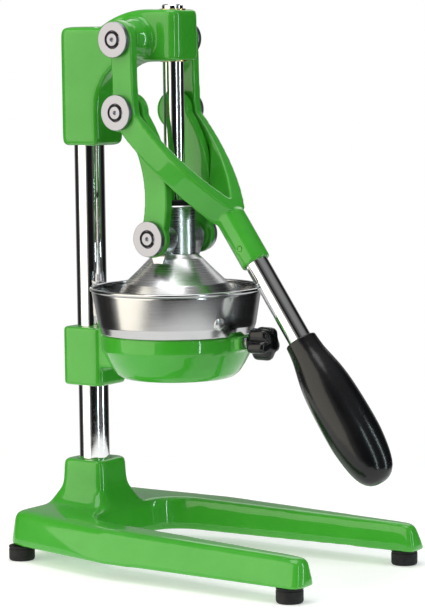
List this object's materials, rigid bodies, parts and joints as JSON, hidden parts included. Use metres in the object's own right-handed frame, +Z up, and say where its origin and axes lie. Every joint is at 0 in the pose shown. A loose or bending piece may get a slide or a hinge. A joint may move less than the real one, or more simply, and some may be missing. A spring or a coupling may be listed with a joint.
{
  "type": "hand lever citrus press",
  "caption": "Bench citrus press: a long lever and toggle links push a steel bell down a guide rod onto a reamer in a spouted bowl on a forked base.",
  "frame": {"origin": "centre of the footprint of the whole object, on the surface it stands on", "axes": "+Z up, -Y towards the user's side where the handle and the open legs are, X from side to side, +X to the left of a user who faces the press"},
  "size_m": [0.194, 0.327, 0.4551],
  "materials": {
    "green_enamel": "glossy green stoved enamel on cast iron, lightly uneven",
    "chrome_plate": "bright chrome plate on ground steel",
    "chrome_fittings": "turned and chromed steel",
    "stainless_sheet": "polished stainless steel with fine turning lines",
    "zinc_steel": "zinc plated steel fasteners",
    "spring_steel": "blackened spring steel retaining clips",
    "bearing_brass": "plain turned brass",
    "black_plastic": "moulded black plastic, glossy with a faint grain",
    "black_rubber": "matt black rubber"
  },
  "bodies": {
    "root": {"base": "green_enamel", "foot_rear_left": "black_rubber", "foot_rear_right": "black_rubber", "foot_front_left": "black_rubber", "foot_front_right": "black_rubber", "foot_screws": "zinc_steel", "column": "chrome_plate", "column_bolt": "zinc_steel", "column_washer": "zinc_steel", "bowl_support": "green_enamel", "support_screws": "zinc_steel", "bowl": "stainless_sheet", "bowl_rivet": "stainless_sheet", "strainer": "stainless_sheet", "reamer_cone": "stainless_sheet", "head": "green_enamel", "head_screws": "zinc_steel", "guide_bush_upper": "bearing_brass", "guide_bush_lower": "bearing_brass", "pivot_pin": "chrome_fittings", "pivot_washers": "chrome_fittings", "pivot_clips": "spring_steel"},
    "ram": {"guide_rod": "chrome_plate", "press_bell": "stainless_sheet", "bumper_ring": "black_rubber", "rod_nut": "zinc_steel", "ear_pins": "zinc_steel"},
    "lever": {"yoke": "green_enamel", "yoke_bushes": "bearing_brass", "handle_tube": "chrome_plate", "handle_grip": "black_plastic", "tube_pin": "green_enamel", "link_pins": "chrome_fittings", "link_washers": "chrome_fittings", "link_clips": "spring_steel"},
    "left_link": {"link_left": "green_enamel", "link_bush_left": "bearing_brass", "ear_bolt_left": "chrome_fittings", "ear_washer_left": "chrome_fittings", "ear_clip_left": "spring_steel"},
    "right_link": {"link_right": "green_enamel", "link_bush_right": "bearing_brass", "ear_bolt_right": "chrome_fittings", "ear_washer_right": "chrome_fittings", "ear_clip_right": "spring_steel"},
    "screw_pad": {"clamp_pad": "bearing_brass"},
    "knob": {"clamp_screw": "zinc_steel", "clamp_knob": "black_plastic"}
  },
  "joints": [
    {"name": "lever_pivot", "type": "hinge", "parent": "root", "child": "lever", "pos_m": [0, 0.06224, 0.4273], "axis": [-1, 0, 0], "range_deg": [0, 140]},
    {"name": "ram_slide", "type": "slide", "parent": "root", "child": "ram", "axis": [0, 0, 1], "range_m": [0, 0.1027]},
    {"name": "left_link_pivot", "type": "hinge", "parent": "lever", "child": "left_link", "pos_m": [-0.0298, 0.06062, 0.36912], "axis": [1, 0, 0], "range_deg": [0, 159.4]},
    {"name": "right_link_pivot", "type": "hinge", "parent": "lever", "child": "right_link", "pos_m": [0.0298, 0.06062, 0.36912], "axis": [1, 0, 0], "range_deg": [0, 159.4]},
    {"name": "screw_feed", "type": "slide", "parent": "root", "child": "screw_pad", "axis": [0, -1, 0], "range_m": [0, 0.003]},
    {"name": "knob_turn", "type": "hinge", "parent": "screw_pad", "child": "knob", "pos_m": [0, -0.03296, 0.18429], "axis": [0, -1, 0], "range_deg": [0, 865]}
  ],
  "couplings": [
    {"joint": "ram_slide", "follows": "lever_pivot", "m_per_rad": 0.041948},
    {"joint": "left_link_pivot", "follows": "lever_pivot", "ratio": 1.1371},
    {"joint": "right_link_pivot", "follows": "lever_pivot", "ratio": 1.1371},
    {"joint": "knob_turn", "follows": "screw_feed", "rad_per_m": 5026.5}
  ]
}
